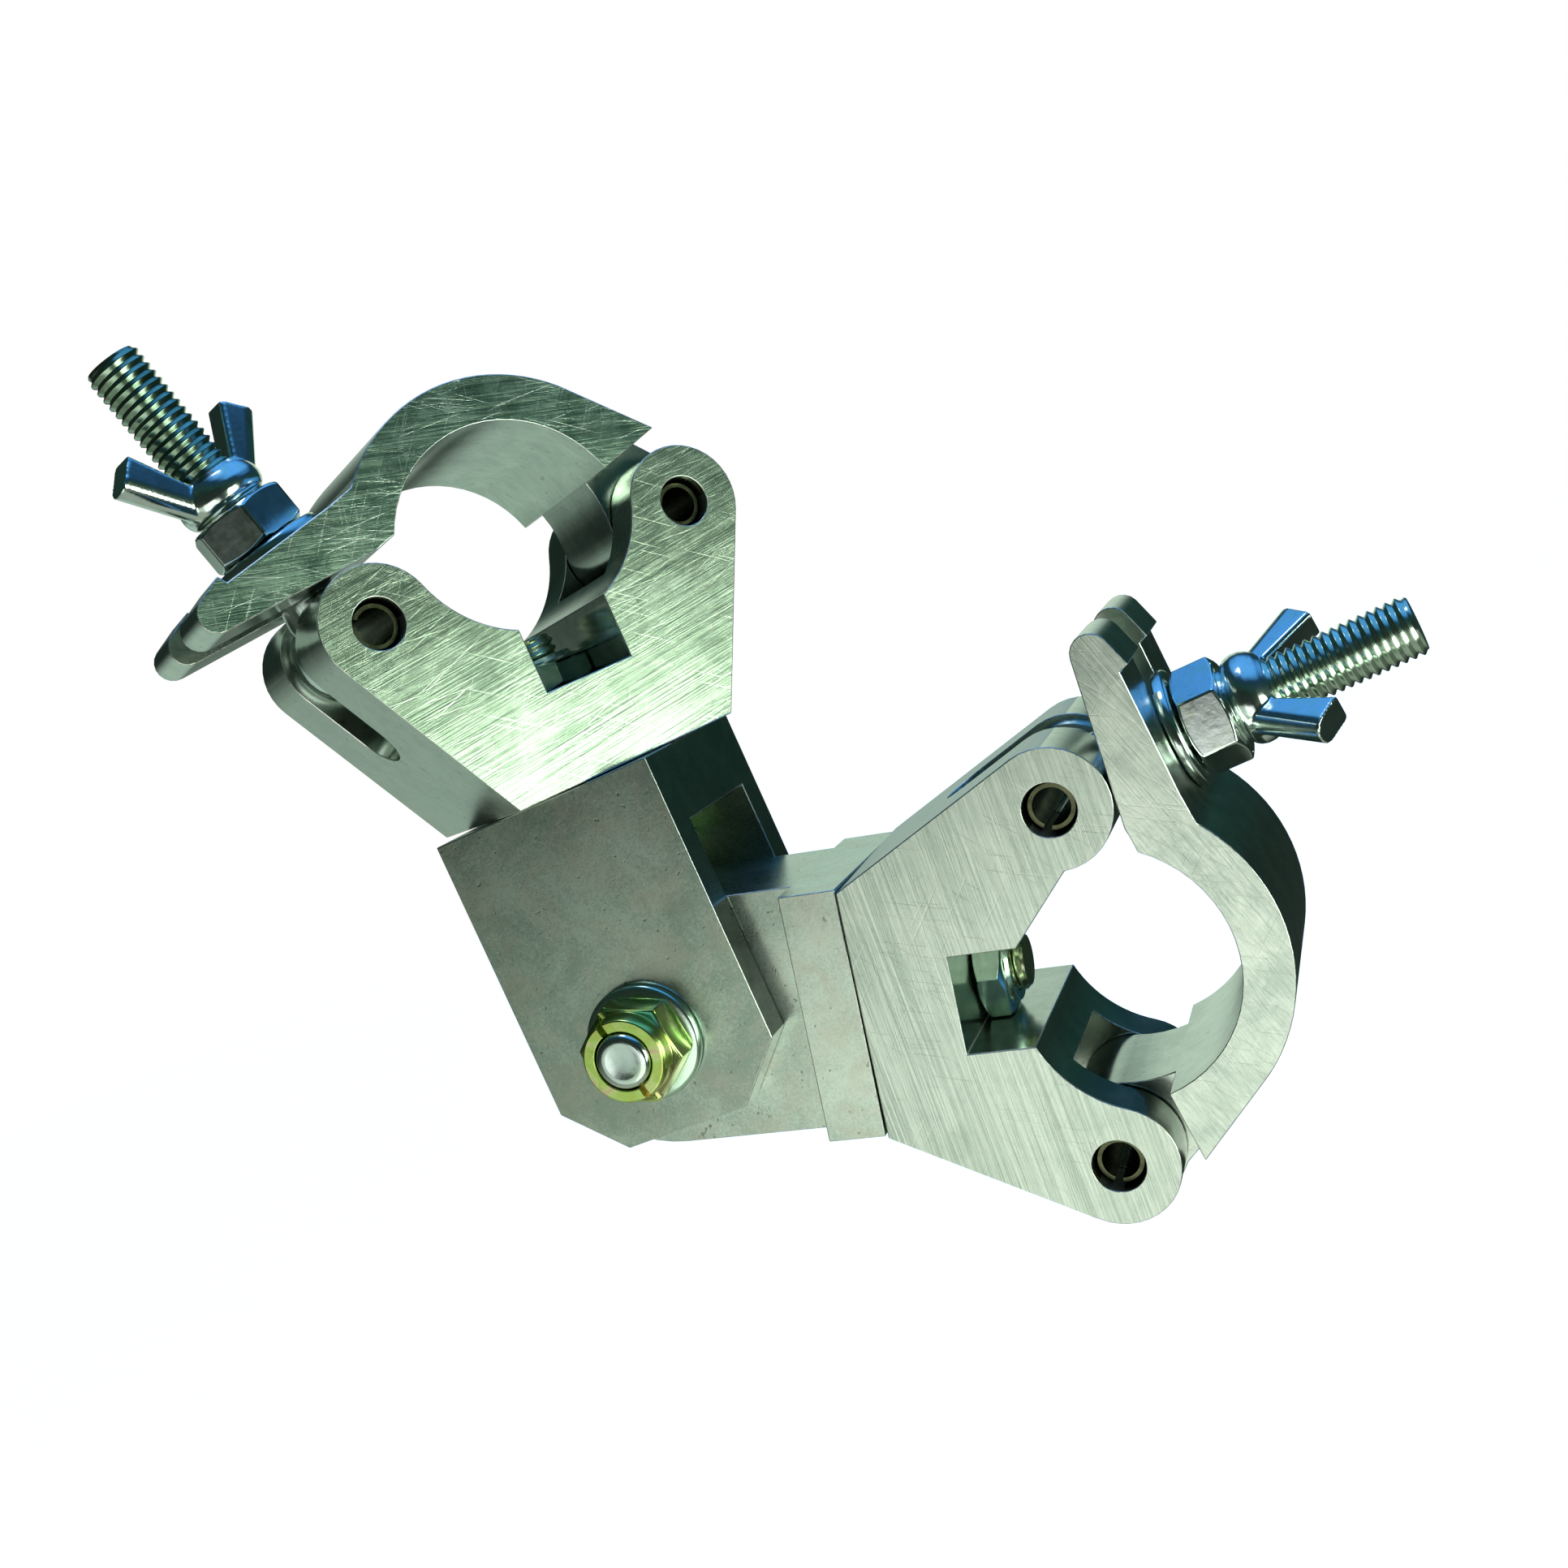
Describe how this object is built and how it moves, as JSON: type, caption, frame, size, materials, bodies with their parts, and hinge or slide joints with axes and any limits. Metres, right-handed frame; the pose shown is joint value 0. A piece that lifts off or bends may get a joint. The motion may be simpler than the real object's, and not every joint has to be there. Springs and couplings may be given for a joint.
{
  "type": "adjustable knuckle tube coupler",
  "caption": "Aluminium knuckle coupler with two hinged half couplers for scaffold-size tube, joined by a clevis and tongue that swivel and pivot.",
  "frame": {"origin": "centre of the tube that coupler A grips, on the axis of coupler A's mounting bolt", "axes": "+Z along coupler A's mounting bolt, from the knuckle towards the tube, which is the way the tube leaves the opened jaw; +Y along the knuckle's pivot bolt, from its nut to its head; +X to the side where the tongue carries coupler B"},
  "size_m": [0.2284, 0.1165, 0.2318],
  "materials": {
    "clamp_arm_a": "sawn ends brushed, extruded faces bright",
    "clamp_arm_b": "sawn ends brushed, extruded faces bright",
    "clamp_washer_a": "clear zinc plate with a blue tint",
    "clamp_washer_b": "clear zinc plate with a blue tint",
    "clevis": "satin, sawn and tumbled",
    "eye_bolt_a": "clear zinc plate with a blue tint",
    "eye_bolt_b": "clear zinc plate with a blue tint",
    "eye_pin_a": "plain spring steel",
    "eye_pin_b": "plain spring steel",
    "hinge_pin_a": "plain spring steel",
    "hinge_pin_b": "plain spring steel",
    "mount_bolt_a": "yellow passivated zinc",
    "mount_bolt_b": "yellow passivated zinc",
    "mount_nut_a": "clear zinc plate with a blue tint",
    "mount_nut_b": "clear zinc plate with a blue tint",
    "pivot_bolt": "clear zinc plate with a blue tint",
    "pivot_head_washer": "clear zinc plate with a blue tint",
    "pivot_lock_nut": "yellow passivated zinc",
    "pivot_nut_washer": "clear zinc plate with a blue tint",
    "saddle_a": "sawn ends brushed, extruded faces bright",
    "saddle_b": "sawn ends brushed, extruded faces bright",
    "tongue_block": "satin, sawn and tumbled",
    "wing_nut_a": "clear zinc plate with a blue tint",
    "wing_nut_b": "clear zinc plate with a blue tint"
  },
  "bodies": {
    "coupler_a": {"saddle_a": "saddle_a", "hinge_pin_a": "hinge_pin_a", "eye_pin_a": "eye_pin_a", "mount_nut_a": "mount_nut_a", "mount_bolt_a": "mount_bolt_a"},
    "clevis": {"clevis": "clevis", "pivot_bolt": "pivot_bolt", "pivot_lock_nut": "pivot_lock_nut", "pivot_nut_washer": "pivot_nut_washer", "pivot_head_washer": "pivot_head_washer"},
    "tongue": {"tongue_block": "tongue_block"},
    "coupler_b": {"saddle_b": "saddle_b", "hinge_pin_b": "hinge_pin_b", "eye_pin_b": "eye_pin_b", "mount_nut_b": "mount_nut_b", "mount_bolt_b": "mount_bolt_b"},
    "arm_a": {"clamp_arm_a": "clamp_arm_a"},
    "eye_bolt_a": {"eye_bolt_a": "eye_bolt_a"},
    "washer_a": {"clamp_washer_a": "clamp_washer_a"},
    "wing_nut_a": {"wing_nut_a": "wing_nut_a"},
    "arm_b": {"clamp_arm_b": "clamp_arm_b"},
    "eye_bolt_b": {"eye_bolt_b": "eye_bolt_b"},
    "washer_b": {"clamp_washer_b": "clamp_washer_b"},
    "wing_nut_b": {"wing_nut_b": "wing_nut_b"}
  },
  "joints": [
    {"name": "clevis_swivel", "type": "hinge", "parent": "coupler_a", "child": "clevis", "pos_m": [0, 0, -0.1077], "axis": [0, 0, 1], "continuous": true},
    {"name": "knuckle_pivot", "type": "hinge", "parent": "clevis", "child": "tongue", "pos_m": [0, 0, -0.1077], "axis": [0, 1, 0], "range_deg": [-25, 178]},
    {"name": "coupler_b_swivel", "type": "hinge", "parent": "tongue", "child": "coupler_b", "pos_m": [0.09812, 0, -0.13035], "axis": [0.9744, 0, -0.225], "continuous": true},
    {"name": "wing_nut_spin_a", "type": "hinge", "parent": "washer_a", "child": "wing_nut_a", "pos_m": [-0.02387, -0.0256, -0.012], "axis": [-0.1823, -0.1954, 0.9636], "range_deg": [0, 7740.08]},
    {"name": "nut_travel_a", "type": "slide", "parent": "eye_bolt_a", "child": "washer_a", "axis": [-0.1823, -0.1954, 0.9636], "range_m": [0, 0.03762]},
    {"name": "bolt_swing_a", "type": "hinge", "parent": "coupler_a", "child": "eye_bolt_a", "pos_m": [-0.02387, -0.0256, -0.012], "axis": [0.7314, -0.682, 0], "range_deg": [0, 43.5]},
    {"name": "arm_opening_a", "type": "hinge", "parent": "coupler_a", "child": "arm_a", "pos_m": [0.02387, 0.0256, -0.012], "axis": [-0.7314, 0.682, 0], "range_deg": [0, 14.5]},
    {"name": "wing_nut_spin_b", "type": "hinge", "parent": "washer_b", "child": "wing_nut_b", "pos_m": [0.0943, -0.00092, -0.09356], "axis": [0.999, -0.007, 0.0435], "range_deg": [0, 7740.08]},
    {"name": "nut_travel_b", "type": "slide", "parent": "eye_bolt_b", "child": "washer_b", "axis": [0.999, -0.007, 0.0435], "range_m": [0, 0.03762]},
    {"name": "bolt_swing_b", "type": "hinge", "parent": "coupler_b", "child": "eye_bolt_b", "pos_m": [0.0943, -0.00092, -0.09356], "axis": [-0.0059, -0.9997, -0.0255], "range_deg": [0, 43.5]},
    {"name": "arm_opening_b", "type": "hinge", "parent": "coupler_b", "child": "arm_b", "pos_m": [0.07856, 0.00092, -0.16174], "axis": [0.0059, 0.9997, 0.0255], "range_deg": [0, 14.5]}
  ],
  "couplings": [
    {"joint": "wing_nut_spin_a", "follows": "nut_travel_a", "rad_per_m": 3590.4},
    {"joint": "bolt_swing_a", "follows": "nut_travel_a", "rad_per_m": 20.179},
    {"joint": "arm_opening_a", "follows": "nut_travel_a", "rad_per_m": 6.7262},
    {"joint": "wing_nut_spin_b", "follows": "nut_travel_b", "rad_per_m": 3590.4},
    {"joint": "bolt_swing_b", "follows": "nut_travel_b", "rad_per_m": 20.179},
    {"joint": "arm_opening_b", "follows": "nut_travel_b", "rad_per_m": 6.7262}
  ]
}
